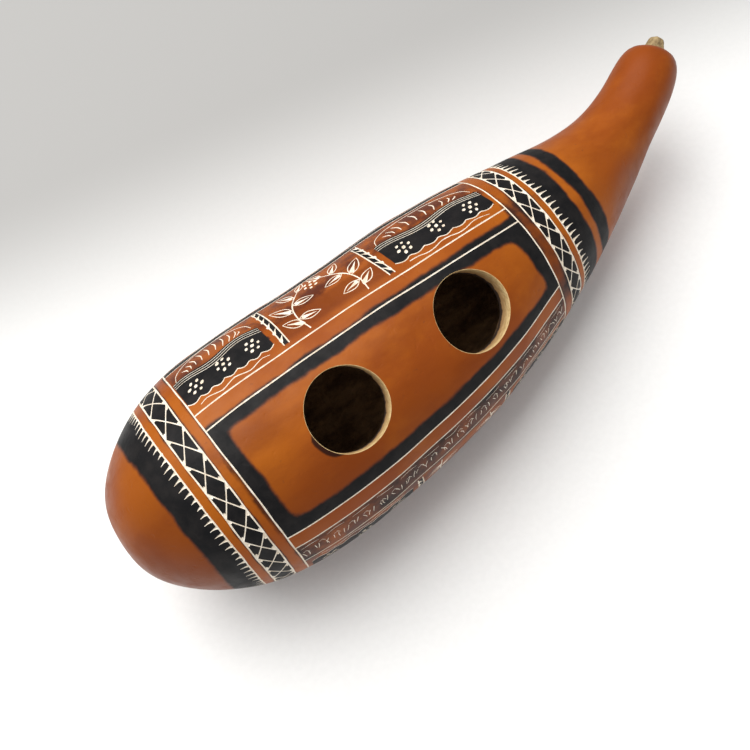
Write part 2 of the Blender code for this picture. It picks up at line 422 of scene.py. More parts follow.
def cut_lattice(lines, lean, cells, crossing, crowding=0.0):
    """Crossed lines between two rings, with chips in the corners where they meet the rings."""
    pitch = TURN / cells
    first = math.ceil((SEAM - crossing) / pitch) - 2
    even = crossing + pitch * np.arange(first, first + cells + 5)
    middles = even + crowding * (np.cos(even - crossing) - 1)
    meets = (middles[1:] + middles[:-1]) / 2
    for before, middle, after in zip(meets, middles[1:-1], meets[1:]):
        share = np.linspace(0, 1, 9)
        angles = np.interp(share, (0, 0.5, 1), (before, middle, after))
        for start, end in (lines, lines[::-1]):
            stations = leaned(start + (end - start) * share, lean, angles)
            STROKES.append(Stroke(stations, angles, FINE_CUT + 0.08 * np.abs(2 * share - 1) ** 3))
    radius = skin_radius(lines[0])
    for angle in meets:
        for own, other in (lines, lines[::-1]):
            inward = math.copysign(1, other - own)
            for side in (-1, 1):
                reach = np.array(CORNER_REACH) * (1 + 0.15 * math.sin(9 * angle + side + own))
                angles = angle + side * reach / radius
                stations = leaned(own, lean, angles) + inward * (0.1 + 0.27 * reach)
                STROKES.append(Stroke(stations, angles, CORNER_WIDTHS))


def cut_teeth(base, lean, count, length, width):
    """Row of small curved teeth standing on a ring."""
    for angle in ring_angles(count):
        vary = 1 + 0.18 * math.sin(11 * angle) + 0.12 * math.sin(23 * angle + 1)
        share = np.array(TOOTH_SHARES)
        angles = angle + 0.5 * share ** 2 / skin_radius(base)
        stations = leaned(base, lean, angle) + length * vary * share
        STROKES.append(Stroke(stations, angles, width * np.array(TOOTH_WIDTHS)))


def cut_notches():
    """Filed notches of the rasp: straight V cuts that run out as the skin curves away."""
    for k in range(RASP_COUNT):
        station = RASP_START + k * RASP_PITCH
        radius = skin_radius(station)
        reach = math.acos(1 - NOTCH_DEPTH / radius) * 0.97
        offset = np.linspace(-reach, reach, 17)
        depth = NOTCH_DEPTH - radius * (1 - np.cos(offset))
        slope = NOTCH_DEPTH / NOTCH_HALF_WIDTH
        angle = RASP_ANGLE - TURN + offset
        STROKES.append(Stroke(
            np.full(len(offset), station), angle, depth / slope, slope, NOTCH_DEPTH, notch=True))


def framed_station(share, degrees):
    """Station at a share of the way from the fat end's line to the neck's line."""
    angle = np.radians(degrees)
    first = leaned(FAT_LINE, FAT_LEAN, angle)
    return first + share * (leaned(NECK_LINE, NECK_LEAN, angle) - first)


def fitted(points):
    """The same line with its ends moved on to the fat end's line and the neck's line."""
    points = [tuple(point) for point in points]
    points[0] = (float(framed_station(0, points[0][1])), points[0][1])
    points[-1] = (float(framed_station(1, points[-1][1])), points[-1][1])
    return points


# Frames of the panels and base lines of the friezes, as (station, degrees).
PANEL_TOP = ((46, -0.6), (65, -1.8), (90, -2.2), (120, -0.3), (150, 4.5), (186, 10.8))
PANEL_BOTTOM = ((50, 61), (100, 60.8), (150, 60.8), (184, 59))
PANEL_FIELD = ((51.5, 3.6), (90, 2.4), (120, 4), (150, 8.6), (178, 15), (179, 53.5), (120, 55), (55.5, 54.5))
UPPER_BASE = ((46, -10), (80, -11), (110, -10.3), (135, -7), (160, -3.5), (186.5, -0.5))
LOWER_BASE = ((50, 69.5), (100, 69), (150, 69.5), (184, 68.5))
HATCH_TOP = ((50, 84), (100, 83.5), (150, 84), (184, 82.5))
LOWER_END = ((50, 178), (184, 178))
RASP_TOP = ((50, 186), (184, 186))
RASP_BOTTOM = ((44, 256), (189, 256))
UPPER_END = ((44, 264), (189, 264))
RASP_FIELD = ((54.5, 192), (181, 192), (183, 250), (50, 250))

# The four friezes: whether each runs from the neck to the fat end, its base line, and the sign of
# the degrees that it grows by.
FRIEZES = (
    (False, UPPER_BASE, -1), (True, UPPER_END, 1), (True, HATCH_TOP, 1), (False, LOWER_END, -1),
)
FRIEZE_START = 47.0
FRIEZE_LENGTH = 138.0
MM_PER_DEGREE = 0.74

# Dark bands where two friezes meet back to back, and the half of their width in degrees.
BACKS = ((UPPER_END, UPPER_BASE), (HATCH_TOP, LOWER_END))
BACK_HALF = 3.4
BACK_STEPS = 44

# The ornament of one frieze, as shares of its length and degrees from its base line.
BLOCKS = ((0.005, 0.27), (0.66, 0.985))
BLOCK_LOW = 5.2
BLOCK_HIGH = 21.5
SCALLOP = 1.7
SCALLOP_COUNT = 7
WAVE_GAP = 1.7
SUN_HEIGHT = 13.5
SUN_RAYS = 10
BARS = (0.288, 0.304)
BAR_LOW = 3
BAR_HIGH = 39
BAR_SLANT = 0.004
SPRIG_STEM = ((0.372, 3), (0.366, 12), (0.382, 22), (0.424, 31))
LEAVES = (
    ((0.371, 7), (0.322, 13.5), 1.9), ((0.368, 11), (0.428, 8.5), 1.7), ((0.372, 17), (0.32, 27), 2.1),
    ((0.384, 22), (0.446, 20), 1.8), ((0.405, 27), (0.366, 37), 1.8), ((0.424, 31), (0.457, 39), 1.6),
)

# The row of small strokes under the finger-hole panel, with thin scratches above it.
HATCH_COUNT = 66
SCRATCH_COUNT = 13


def line_value(line, station):
    """Degrees of a frame line at a station."""
    line = np.array(line, dtype=float)
    return np.interp(station, line[:, 0], line[:, 1])


def unwrapped(degrees):
    """Degrees brought into the turn that starts at the seam."""
    low = math.degrees(SEAM)
    return (np.asarray(degrees, dtype=float) - low) % 360 + low


def base_degrees(line, station):
    """Degrees of a frame line at a station, in the turn that starts at the seam."""
    return unwrapped(line_value(line, station))


def place_in(frieze, points):
    """Carry (share, height) points of the ornament to (station, degrees) on one frieze."""
    turned, base, grows = frieze
    share, height = np.array(points, dtype=float).T
    if turned:
        share = 1 - share
    degrees = base_degrees(base, FRIEZE_START + FRIEZE_LENGTH * share) + grows * height
    return np.column_stack((framed_station(share, degrees), degrees))


def scalloped(first, last):
    """Low edge of a dark block, as (share, height)."""
    return [
        (
            first + (last - first) * k / (4 * SCALLOP_COUNT),
            BLOCK_LOW + SCALLOP * (1 - math.sin(math.pi * (k % 4) / 4)),
        )
        for k in range(4 * SCALLOP_COUNT + 1)]


def waved(first, last, lift=0.0):
    """High edge of a dark block, as (share, height)."""
    return [
        (first + (last - first) * k / 12, BLOCK_HIGH + lift + 1.6 * math.sin(TURN * k / 8 + 0.8))
        for k in range(13)]


def block_outline(first, last):
    """Outline of a whole dark block, as (share, height)."""
    return scalloped(first, last) + waved(first, last, WAVE_GAP + 1.1)[::-1]


def flower(frieze, share, height):
    """Seven dots: one in the middle and six round it."""
    (station, degrees), = place_in(frieze, ((share, height),))
    radius = float(skin_radius(station))
    cut_dot(station, degrees, 0.72)
    tilt = RNG.uniform(-14, 14)
    for k in range(6):
        turn = math.radians(60 * k + tilt)
        across = math.degrees(2.75 * math.sin(turn) / radius)
        cut_dot(station + 2.65 * math.cos(turn), degrees + across, RNG.uniform(0.52, 0.68))


def draw_sun(frieze, first, last):
    """Arch of rays over a dark block."""
    middle, half = (first + last) / 2, (last - first) / 2 - 0.012
    foot = BLOCK_HIGH + WAVE_GAP + 2.4

    def spot(turn, reach):
        return middle - half * reach * math.cos(turn), foot + SUN_HEIGHT * reach * math.sin(turn)

    arch = [spot(math.pi * k / 8, 1.0) for k in range(9)]
    cut_line(place_in(frieze, arch), FINE_CUT, (0.7, 0.7))
    for turn in math.pi * np.linspace(0.13, 0.87, SUN_RAYS):
        near = (middle - half * 0.72 * math.cos(turn), foot + RNG.uniform(0.8, 1.8))
        far = spot(turn, RNG.uniform(0.8, 0.87))
        mid = ((near[0] + far[0]) / 2 + 0.006, (near[1] + far[1]) / 2)
        cut_line(place_in(frieze, (near, mid, far)), LINE_CUT, (0.5, 0.3))


def draw_leaf(frieze, root, tip, width):
    """Pointed leaf with a chip for its rib."""
    root, tip = np.array(root), np.array(tip)
    size = (tip - root) * (FRIEZE_LENGTH, MM_PER_DEGREE)
    sideways = np.array((-size[1], size[0])) / np.hypot(*size) * width / (FRIEZE_LENGTH, MM_PER_DEGREE)
    for sign in (-1, 1):
        edge = [
            root + (tip - root) * share + sideways * sign * bulge
            for share, bulge in ((0, 0), (0.25, 0.8), (0.5, 1.0), (0.78, 0.6), (1, 0))]
        cut_line(place_in(frieze, edge), FINE_CUT, (0.8, 0.6))
    rib = (root + (tip - root) * 0.2, root + (tip - root) * 0.8)
    cut_chip(*place_in(frieze, rib), width * 0.5)


def barred(side):
    """The narrow dark field between the two bars."""
    low = [(bar, BAR_LOW) for bar in BARS]
    high = [(bar + BAR_SLANT, BAR_HIGH) for bar in BARS]
    return side(low + high[::-1])


def mirrored(points):
    """The same (share, height) points on the other side of the frieze's middle field."""
    low, high = BLOCKS[0][1], BLOCKS[1][0]
    return [(low + high - share, height) for share, height in points]


def draw_frieze(frieze):
    """Dark blocks with rosettes, rays over them, and two leafy sprigs between barred ends."""
    for number, (first, last) in enumerate(BLOCKS):
        cut_line(place_in(frieze, scalloped(first, last)), FINE_CUT, straight=True)
        for k in range(3):
            cut_line(place_in(frieze, waved(first, last, (k - 1) * WAVE_GAP)), FINE_CUT * 0.65, (0.8, 0.8))
        for k in range(3):
            flower(frieze, first + (last - first) * (k + 0.5) / 3, 13.4 + 0.8 * (k % 2))
        draw_sun(frieze, first, last)
        vine = [
            (first + (last - first) * (0.1 + 0.8 * k / 10), 2.9 + 0.9 * math.sin(TURN * k / 4 + number))
            for k in range(11)]
        cut_line(place_in(frieze, vine), FINE_CUT, (0.7, 0.5))
    for side in (list, mirrored):
        for bar in BARS:
            line = side([(bar, BAR_LOW), (bar + BAR_SLANT, 20), (bar, BAR_HIGH)])
            cut_line(place_in(frieze, line), LINE_CUT, (0.9, 0.7))
        for k in range(6):
            chip = side([(BARS[0] + 0.002, 6 + 6 * k), (BARS[1], 9 + 6 * k)])
            cut_chip(*place_in(frieze, chip), 0.75)
        cut_line(place_in(frieze, side(SPRIG_STEM)), LINE_CUT, (1.0, 0.6))
        for root, tip, width in LEAVES:
            draw_leaf(frieze, *side([root, tip]), width)
    flower(frieze, sum(BLOCKS[0] + BLOCKS[1][:1]) / 2, 30.5)


def back_middle(low, high, station):
    """Degrees of the middle of the dark band at the back of a pair of friezes."""
    return (base_degrees(low, station) + base_degrees(high, station)) / 2


def draw_backs():
    """Wavy edges of the dark bands at the friezes' backs."""
    for low, high in BACKS:
        for side in (-1, 1):
            edge = []
            for k in range(BACK_STEPS + 1):
                share = k / BACK_STEPS
                station = FRIEZE_START + FRIEZE_LENGTH * share
                rise = side * (BACK_HALF + 0.35 * math.sin(TURN * k / 6))
                degrees = float(back_middle(low, high, station)) + rise
                edge.append((float(framed_station(share, degrees)), degrees))
            cut_line(edge, FINE_CUT)


def draw_hatching():
    """Row of small strokes under the finger-hole panel."""
    for k in range(HATCH_COUNT):
        share = 0.012 + 0.976 * (k + RNG.uniform(-0.3, 0.3)) / (HATCH_COUNT - 1)
        low = RNG.uniform(5.6, 7.6)
        high = low + RNG.uniform(2.4, 4.4)
        station = float(framed_station(share, 75))
        lean = RNG.uniform(-0.9, 0.9)
        base = float(line_value(LOWER_BASE, station))
        middle = (station + lean + RNG.uniform(-0.4, 0.4), base + (low + high) / 2)
        stroke = ((station, base + low), middle, (station + 1.5 * lean, base + high))
        cut_line(stroke, FINE_CUT * 0.75, (0.9, 0.5))
        if k % 3 == 0:
            hook = ((0.3, -0.8), (1.6, -1.3), (2.6, 0.4))
            hook = [(station + ahead, base + low + rise) for ahead, rise in hook]
            cut_line(hook, FINE_CUT * 0.65, (0.7, 0.7))
    for k in range(SCRATCH_COUNT):
        scratch = []
        for part in (0.1, 0.45, 0.8):
            station = float(framed_station((k + part) / SCRATCH_COUNT, 73))
            scratch.append((station, float(line_value(LOWER_BASE, station)) + RNG.uniform(1.9, 3.4)))
        cut_line(scratch, FINE_CUT * 0.5, (0.4, 0.4))


def build_strokes():
    """All the engraving and the rasp."""
    for base in (FAT_LINE, *FAT_LATTICE, FAT_TEETH):
        cut_ring(base, FAT_LEAN, LINE_CUT)
    for base in (NECK_LINE, *NECK_LATTICE, NECK_TEETH):
        cut_ring(base, NECK_LEAN, LINE_CUT)
    cut_lattice(FAT_LATTICE, FAT_LEAN, FAT_CELLS, FAT_CROSSING, FAT_CROWDING)
    cut_lattice(NECK_LATTICE, NECK_LEAN, NECK_CELLS, NECK_CROSSING)
    cut_teeth(FAT_TEETH, FAT_LEAN, FAT_TEETH_COUNT, -2.6, 0.85)
    cut_teeth(NECK_TEETH, NECK_LEAN, NECK_TEETH_COUNT, 3.5, 0.95)
    for line in (PANEL_TOP, PANEL_BOTTOM, UPPER_BASE, LOWER_BASE, HATCH_TOP):
        cut_line(fitted(line))
    for line in (LOWER_END, RASP_TOP, RASP_BOTTOM, UPPER_END):
        cut_line(fitted([(station, float(unwrapped(degrees))) for station, degrees in line]), straight=True)
    for frieze in FRIEZES:
        draw_frieze(frieze)
    draw_backs()
    draw_hatching()
    cut_notches()


# ---------------------------------------------------------------- the unrolled sheet

class Segments:
    """All the strokes' middle lines, ready for distance questions."""

    def __init__(self, strokes):
        rows = []
        for stroke in strokes:
            last = len(stroke.stations) - 1
            for k in range(max(last, 1)):
                m = min(k + 1, last)
                rows.append((
                    stroke.stations[k], stroke.angles[k], stroke.widths[k],
                    stroke.stations[m], stroke.angles[m], stroke.widths[m],
                    stroke.slope, stroke.deepest, stroke.notch,
                ))
        self.rows = np.array(rows, dtype=float)
        self.tree = kdtree.KDTree(len(rows))
        for k, row in enumerate(self.rows):
            self.tree.insert(((row[0] + row[3]) / 2, (row[1] + row[4]) / 2 * UNROLL_RADIUS, 0), k)
        self.tree.balance()
        ahead = self.rows[:, 3] - self.rows[:, 0]
        around = (self.rows[:, 4] - self.rows[:, 1]) * UNROLL_RADIUS
        self.reach = float(np.hypot(ahead, around).max()) / 2 + 2.2

    def ask(self, stations, angles):
        """Clearance from the nearest cut, depth of the deepest cut, and whether that is a notch."""
        points = []
        pairs = []
        for k, (station, angle) in enumerate(zip(stations, angles)):
            found = self.tree.find_range((station, angle * UNROLL_RADIUS, 0), self.reach)
            for _, index, _ in found:
                points.append(k)
                pairs.append(index)
        points = np.array(points, dtype=int)
        rows = self.rows[pairs]
        radius = skin_radius(stations[points])
        x = stations[points] - rows[:, 0]
        y = (angles[points] - rows[:, 1]) * radius
        dx = rows[:, 3] - rows[:, 0]
        dy = (rows[:, 4] - rows[:, 1]) * radius
        t = np.clip((x * dx + y * dy) / np.maximum(dx * dx + dy * dy, 1e-9), 0, 1)
        gap = np.hypot(x - t * dx, y - t * dy) - (rows[:, 2] + (rows[:, 5] - rows[:, 2]) * t)
        clearance = np.full(len(stations), 9.0)
        np.minimum.at(clearance, points, gap)
        deep = np.minimum(np.maximum(-gap, 0) * rows[:, 6], rows[:, 7])
        depth = np.zeros(len(stations))
        np.maximum.at(depth, points, deep)
        notch = np.zeros(len(stations), dtype=bool)
        notch[points[(rows[:, 8] > 0) & (deep > 0)]] = True
        return clearance, depth, notch


def inside_loop(stations, angles, loop):
    """Whether each point lies inside a closed loop of (station, angle)."""
    inside = np.zeros(len(stations), dtype=bool)
    for (s0, a0), (s1, a1) in zip(loop, np.roll(loop, -1, axis=0)):
        crosses = (a0 > angles) != (a1 > angles)
        if a1 != a0:
            inside ^= crosses & (stations < s0 + (angles - a0) * (s1 - s0) / (a1 - a0))
    return inside


class Sheet:
    """Triangles of an unrolled band of the gourd, closed on itself at the seam."""

    def __init__(self, first, last, step, around, loops, strokes=()):
        rows = np.linspace(first, last, round((last - first) / step) + 1)
        columns = SEAM + TURN * np.arange(around + 1) / around
        segments = Segments(strokes) if strokes else None
        points, edges = self.fixed_lines(rows, columns, loops, strokes)
        points.extend(self.filling(rows, columns, step, loops, segments))
        found = delaunay_2d_cdt([Vector(point) for point in points], edges, [], 0, 1e-5, False)
        flat = np.array([tuple(point) for point in found[0]])
        station = flat[:, 0]
        angle = flat[:, 1] / UNROLL_RADIUS
        triangles = self.trimmed(station, angle, np.array(found[2]), loops)
        triangles = self.join_seam(station, angle, triangles)
        used, triangles = np.unique(triangles, return_inverse=True)
        self.triangles = triangles.reshape(-1, 3)
        self.stations = station[used]
        self.angles = angle[used]
        self.depths = np.zeros(len(used))
        self.kinds = np.zeros(len(self.triangles), dtype=int)
        if segments:
            self.depths = segments.ask(self.stations, self.angles)[1]
            self.depths[self.depths < 0.02] = 0
            _, deep, notch = segments.ask(
                self.stations[self.triangles].mean(axis=1), self.angles[self.triangles].mean(axis=1))
            self.kinds = np.where(deep > 0, np.where(notch, NOTCH, CARVED), SKIN)
        self.first_ring = [self.nearest(first, angle) for angle in columns[:-1]]
        self.last_ring = [self.nearest(last, angle) for angle in columns[:-1]]
        self.holes = [[self.nearest(*point) for point in loop] for loop in loops]

    @staticmethod
    def fixed_lines(rows, columns, loops, strokes):
        """Points and edges that the triangles have to follow."""
        points = []
        edges = []

        def add(line, closed=False):
            start = len(points)
            points.extend((station, angle * UNROLL_RADIUS) for station, angle in line)
            edges.extend((start + k, start + k + 1) for k in range(len(line) - 1))
            if closed:
                edges.append((start + len(line) - 1, start))

        for angle in (SEAM, SEAM + TURN):
            add([(station, angle) for station in rows])
        for station in (rows[0], rows[-1]):
            add([(station, angle) for angle in columns])
        for loop in loops:
            add(loop, closed=True)
        for stroke in strokes:
            add(stroke.outline(), closed=True)
            add(list(zip(stroke.stations, stroke.angles)))
        return points, edges

    @staticmethod
    def filling(rows, columns, step, loops, segments):
        """Grid of points that keeps clear of the cuts and the holes."""
        turn = columns[1] - columns[0]
        stations, angles = np.meshgrid(rows[1:-1], columns[1:-1], indexing="ij")
        angles = angles + (np.arange(len(rows) - 2) % 2 * 0.5 - 0.25)[:, None] * turn
        stations, angles = stations.ravel(), angles.ravel()
        keep = np.ones(len(stations), dtype=bool)
        if segments:
            keep = segments.ask(stations, angles)[0] > CLEARANCE
        for loop in loops:
            keep &= ~inside_loop(stations, angles, loop)
            spacing = np.hypot(
                stations[:, None] - loop[None, :, 0],
                (angles[:, None] - loop[None, :, 1]) * UNROLL_RADIUS).min(axis=1)
            keep &= spacing > step * 0.45
        return zip(stations[keep], angles[keep] * UNROLL_RADIUS)

    @staticmethod
    def trimmed(station, angle, triangles, loops):
        """Triangles between the two sides of the seam and outside the holes."""
        middle_station = station[triangles].mean(axis=1)
        middle_angle = angle[triangles].mean(axis=1)
        keep = (middle_angle > SEAM) & (middle_angle < SEAM + TURN)
        for loop in loops:
            keep &= ~inside_loop(middle_station, middle_angle, loop)
        return triangles[keep]

    @staticmethod
    def join_seam(station, angle, triangles):
        """Give the vertices on the far side of the seam the numbers of those on its near side."""
        near = np.flatnonzero(np.abs(angle - SEAM) < 1e-6)
        far = np.flatnonzero(np.abs(angle - SEAM - TURN) < 1e-6)
        near = near[np.argsort(station[near])]
        target = np.arange(len(station))
        for vertex in far:
            match = near[np.argmin(np.abs(station[near] - station[vertex]))]
            if abs(station[match] - station[vertex]) > 0.01:
                raise ValueError("the two sides of the seam differ")
            target[vertex] = match
        joined = target[triangles]
        whole = (
            (joined[:, 0] != joined[:, 1]) & (joined[:, 1] != joined[:, 2]) & (joined[:, 2] != joined[:, 0]))
        return joined[whole]

    def nearest(self, station, angle):
        """Vertex nearest a place."""
        return int(np.argmin(
            (self.stations - station) ** 2 + ((self.angles - angle) * UNROLL_RADIUS) ** 2))


class Builder:
    """Collects the points and faces of one piece."""

    def __init__(self):
        self.points = []
        self.faces = []
        self.slots = []
        self.places = []

    def add_points(self, points, stations=None, angles=None):
        """Add an array of points and return their numbers; places are for points on the skin."""
        start = len(self.points)
        self.points.extend(map(tuple, points))
        if stations is None:
            self.places.extend([(math.nan, math.nan)] * len(points))
        else:
            self.places.extend(zip(stations, angles))
        return list(range(start, len(self.points)))

    def add_face(self, face, slot=0):
        """Add one face."""
        self.faces.append(tuple(face))
        self.slots.append(slot)

    def join(self, lower, upper, slot=0):
        """Faces between two rings of the same count, or from a ring to a single point."""
        sides = len(lower)
        for k in range(sides):
            m = (k + 1) % sides
            if len(upper) == 1:
                self.add_face((lower[k], lower[m], upper[0]), slot)
            else:
                self.add_face((lower[k], lower[m], upper[m], upper[k]), slot)

    def loft(self, ring, rings, slot=0):
        """Carry a ring on through further rings of points; returns the last one's numbers."""
        for points in rings:
            following = self.add_points(points)
            self.join(ring, following, slot)
            ring = following
        return ring

    def add_sheet(self, sheet, points, outside=False):
        """Add a sheet's points, on the outside of the skin or not, and triangles; returns its offset."""
        if outside:
            numbers = self.add_points(points, sheet.stations, sheet.angles)
        else:
            numbers = self.add_points(points)
        start = numbers[0]
        for triangle, kind in zip(sheet.triangles + start, sheet.kinds):
            self.add_face(triangle, int(kind))
        return start

    def mesh(self, name):
        """Mesh in metres in the model's frame, with its faces turned outwards."""
        mesh = bpy.data.meshes.new(name)
        points = (np.array(self.points) + SHIFT) * MM
        points[:, 2] = np.maximum(points[:, 2], 0)
        faces = [tuple(map(int, face)) for face in self.faces]
        mesh.from_pydata([tuple(point) for point in points], [], faces)
        mesh.polygons.foreach_set("material_index", self.slots)
        bm = bmesh.new()
        bm.from_mesh(mesh)
        bmesh.ops.recalc_face_normals(bm, faces=bm.faces)
        bm.to_mesh(mesh)
        bm.free()
        mesh.shade_smooth()
        return mesh


def link_piece(name, mesh, materials):
    """Put a mesh in the scene under a name, with its materials."""
    for material in materials:
        mesh.materials.append(material)
    item = bpy.data.objects.new(name, mesh)
    bpy.context.scene.collection.objects.link(item)
    return item


# ---------------------------------------------------------------- holes

def hole_axes(hole):
    """Centre on the even skin, outward axis and two directions square to it."""
    place, angle = (np.array([value]) for value in hole)

    def skin(s, a):
        return round_spine(s, a, skin_radius(s))

    centre = skin(place, angle)[0]
    along = (skin(place + 0.5, angle) - skin(place - 0.5, angle))[0]
    along /= np.linalg.norm(along)
    across = (skin(place, angle + 0.01) - skin(place, angle - 0.01))[0]
    across -= along * across.dot(along)
    across /= np.linalg.norm(across)
    return centre, np.cross(across, along), along, across


def hole_loop(hole, radius, surface):
    """Places (station, angle) where a round drill meets a surface, in order round the drill."""
    centre, _, along, across = hole_axes(hole)
    turns = TURN * np.arange(HOLE_SIDES) / HOLE_SIDES
    goal = np.column_stack((np.cos(turns), np.sin(turns))) * radius
    stations = hole[0] + goal[:, 0]
    angles = hole[1] + goal[:, 1] / skin_radius(hole[0])

    def miss(s, a):
        offset = surface(s, a) - centre
        return np.column_stack((offset @ along, offset @ across)) - goal

    for _ in range(8):
        error = miss(stations, angles)
        by_station = (miss(stations + 0.05, angles) - error) / 0.05
        by_angle = (miss(stations, angles + 0.001) - error) / 0.001
        whole = by_station[:, 0] * by_angle[:, 1] - by_angle[:, 0] * by_station[:, 1]
        stations = stations - (error[:, 0] * by_angle[:, 1] - by_angle[:, 0] * error[:, 1]) / whole
        angles = angles - (by_station[:, 0] * error[:, 1] - error[:, 0] * by_station[:, 1]) / whole
    return np.column_stack((stations, angles))


def on_cavity(inset):
    """Surface function of the cavity, or of one a constant inset inside it."""
    def surface(station, angle):
        return round_spine(station, angle, np.maximum(cavity_radius(station) - inset, 0.5))
    return surface


# ---------------------------------------------------------------- scorch, stain and painted shade

def polygon_depth(station, angle, polygon):
    """Distance from a polygon of (station, degrees) on the skin, positive inside it."""
    corners = np.array(polygon, dtype=float)
    radius = skin_radius(station)
    degrees = np.degrees(angle)
    nearest = np.full(len(station), 1e9)
    inside = np.zeros(len(station), dtype=bool)
    for (s0, a0), (s1, a1) in zip(corners, np.roll(corners, -1, axis=0)):
        x0, y0 = s0 - station, np.radians(a0 - degrees) * radius
        x1, y1 = s1 - station, np.radians(a1 - degrees) * radius
        dx, dy = x1 - x0, y1 - y0
        t = np.clip(-(x0 * dx + y0 * dy) / np.maximum(dx * dx + dy * dy, 1e-9), 0, 1)
        nearest = np.minimum(nearest, np.hypot(x0 + t * dx, y0 + t * dy))
        crosses = (y0 > 0) != (y1 > 0)
        with np.errstate(divide="ignore", invalid="ignore"):
            inside ^= crosses & (x0 - y0 * dx / np.where(crosses, dy, 1) > 0)
    return np.where(inside, nearest, -nearest)


def rounded_depth(station, angle, polygon, softness=1.3):
    """Distance inside a convex polygon of (station, degrees), negative outside, round at its corners."""
    corners = np.array(polygon, dtype=float)
    radius = skin_radius(station)
    total = 0
    for (s0, a0), (s1, a1) in zip(corners, np.roll(corners, -1, axis=0)):
        dx = s1 - s0
        dy = np.radians(a1 - a0) * radius
        inside = ((station - s0) * -dy + (angle - math.radians(a0)) * radius * dx) / np.hypot(dx, dy)
        total = total + np.exp(np.clip(-inside / softness, -40, 40))
    return -softness * np.log(total)


def halo(distance, reach=0.3, slope=2.0):
    """Value of a thin scorched line at a distance from its middle."""
    return reach - slope * np.abs(distance)


def across_skin(degrees, station):
    """Millimetres round the skin that so many degrees make at a station."""
    return np.radians(degrees) * skin_radius(station)


def from_rings(station, angle):
    """Stations as counted along the leaning rings of the fat end and of the neck."""
    return station - leaned(0, FAT_LEAN, angle), station - leaned(0, NECK_LEAN, angle)


def inside_span(degrees, span):
    """Degrees inside a span, negative outside it."""
    return np.minimum(degrees - span[0], span[1] - degrees)


def band_burns(fat, neck, degrees):
    """Scorched bands and thin scorched lines at the two ends."""
    smudged = inside_span(degrees, SMUDGE_SPAN) * 0.08
    strip_middle = (NECK_LINE + NECK_LATTICE[0]) / 2
    smudge_tone = SMUDGE_SCORCH - 0.5 + 0.16 * np.abs(neck - strip_middle)
    return [
        np.minimum(fat - FAT_SCORCH, (FAT_TEETH - fat) * HARD_EDGE),
        np.minimum(fat - FAT_LATTICE[1], FAT_LATTICE[0] - fat) * HARD_EDGE,
        np.minimum(neck - NECK_LATTICE[0], NECK_LATTICE[1] - neck) * HARD_EDGE,
        np.minimum((neck - NECK_TEETH) * HARD_EDGE, NECK_SCORCH - neck),
        np.minimum(neck - NECK_RING[0], NECK_RING[1] - neck),
        halo(fat - FAT_LATTICE[0] - 0.4),
        halo(fat - FAT_LATTICE[1] + 0.4),
        halo(fat - FAT_LINE + 0.4, 0.1),
        np.minimum.reduce((neck - NECK_LINE + 0.5, NECK_LATTICE[0] - neck + 0.3, smudged, smudge_tone)),
        halo(neck - NECK_LATTICE[0] + 0.5, 0.5),
        halo(neck - NECK_LATTICE[1] - 0.4, 0.1),
        halo(neck - NECK_LINE - 0.4, 0.1),
    ]


def body_burns(station, angle):
    """Scorched frames of the two panels, fields of the friezes and row of small strokes."""
    degrees = np.degrees(angle)
    spread = 0.8 + 1.5 * smooth_step((station - 105) / 60)
    top = across_skin(degrees - line_value(PANEL_TOP, station), station) + spread
    bottom = across_skin(line_value(PANEL_BOTTOM, station) - degrees, station) * HARD_EDGE
    areas = [np.minimum.reduce((top, bottom, -rounded_depth(station, angle, PANEL_FIELD)))]
    rasp = [float(unwrapped(line[0][1])) for line in (RASP_TOP, RASP_BOTTOM)]
    within = across_skin(inside_span(degrees, rasp), station) * HARD_EDGE
    field = [(place, float(unwrapped(turned))) for place, turned in RASP_FIELD]
    areas.append(np.minimum(within, -rounded_depth(station, angle, field)))
    fields = [*(block_outline(*block) for block in BLOCKS), barred(list), barred(mirrored)]
    for frieze in FRIEZES:
        for field in fields:
            areas.append(polygon_depth(station, angle, place_in(frieze, field)) * HARD_EDGE)
    for low, high in BACKS:
        off = BACK_HALF - np.abs(degrees - back_middle(low, high, station))
        areas.append(across_skin(off, station) * HARD_EDGE)
    for line in (LOWER_BASE, HATCH_TOP):
        areas.append(halo(across_skin(degrees - line_value(line, station) - 0.6, station), 0.2, 1.2))
    row = inside_span(degrees, (line_value(LOWER_BASE, station), line_value(HATCH_TOP, station)))
    areas.append(np.minimum(across_skin(row, station) - 0.6, HATCH_SCORCH))
    return areas


def burn_value(station, angle):
    """Distance inside the nearest scorched area, negative outside; crisp edges count several times."""
    fat, neck = from_rings(station, angle)
    between = np.minimum(fat - FAT_LINE, NECK_LINE - neck) * HARD_EDGE
    body = np.maximum.reduce(body_burns(station, angle))
    return np.maximum.reduce([*band_burns(fat, neck, np.degrees(angle)), np.minimum(between, body)])


def slip_value(station, angle):
    """Distance inside the smooth brown singes by the first finger hole's rim and along the fat line."""
    hole_station, hole_angle = FINGER_HOLES[0]
    ahead = hole_station - station
    across = (angle - hole_angle) * skin_radius(station)
    width = SLIP_WIDTH * window(np.degrees(np.arctan2(across, ahead)), *SLIP_SPAN, 14, 22)
    at_rim = FINGER_HOLE_RADIUS + RIM_EASE + width - np.hypot(ahead, across)
    fat, _ = from_rings(station, angle)
    smudged = inside_span(np.degrees(angle), SMUDGE_SPAN) * 0.04
    at_line = np.minimum.reduce((0.7 * (fat - FAT_LINE + 2.1), (FAT_LINE + 0.2 - fat) * HARD_EDGE, smudged))
    return np.maximum(at_rim, np.minimum(at_line, SINGE_TONE))


